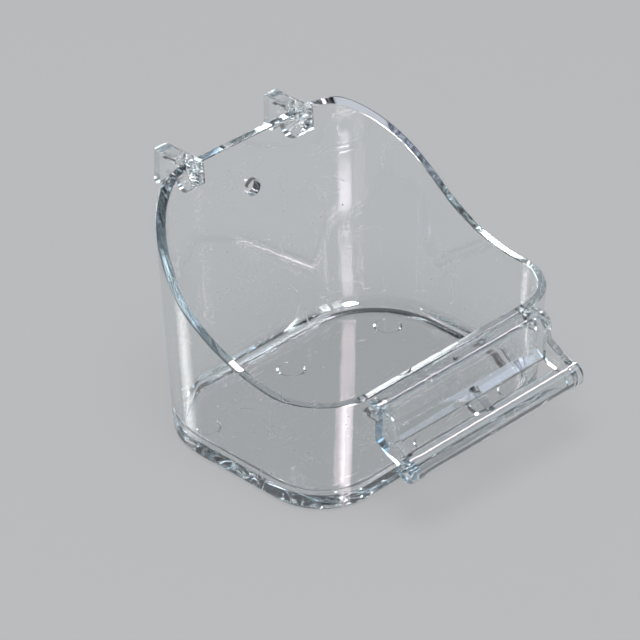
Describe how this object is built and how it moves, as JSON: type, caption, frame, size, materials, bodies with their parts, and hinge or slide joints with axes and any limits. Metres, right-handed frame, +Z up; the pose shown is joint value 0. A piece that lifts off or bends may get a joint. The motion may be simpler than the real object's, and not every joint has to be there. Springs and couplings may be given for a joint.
{
  "type": "cage bird bath",
  "caption": "Clear hang-on bird bath for a cage: open tub with a swept rim, snap hooks on its high back wall and a perch bar on its low front.",
  "frame": {"origin": "middle of the tub's flat underside", "axes": "+Z up, -Y towards the perch, +Y towards the hooks and the cage wires, X across"},
  "size_m": [0.1052, 0.1132, 0.0734],
  "materials": {
    "tub_clear": "polished clear polystyrene",
    "hook_clear": "polished clear polystyrene",
    "perch_clear": "polished clear polystyrene"
  },
  "bodies": {
    "tub": {"bath_tub": "tub_clear"},
    "left_hook": {"hook_left": "hook_clear"},
    "right_hook": {"hook_right": "hook_clear"},
    "perch": {"perch": "perch_clear"}
  },
  "joints": [
    {"name": "left_hook_lift", "type": "slide", "parent": "tub", "child": "left_hook", "axis": [0, 0, 1], "range_m": [0, 0.009]},
    {"name": "right_hook_lift", "type": "slide", "parent": "tub", "child": "right_hook", "axis": [0, 0, 1], "range_m": [0, 0.009]},
    {"name": "perch_pull", "type": "slide", "parent": "tub", "child": "perch", "axis": [0, -1, 0], "range_m": [0, 0.008]}
  ]
}
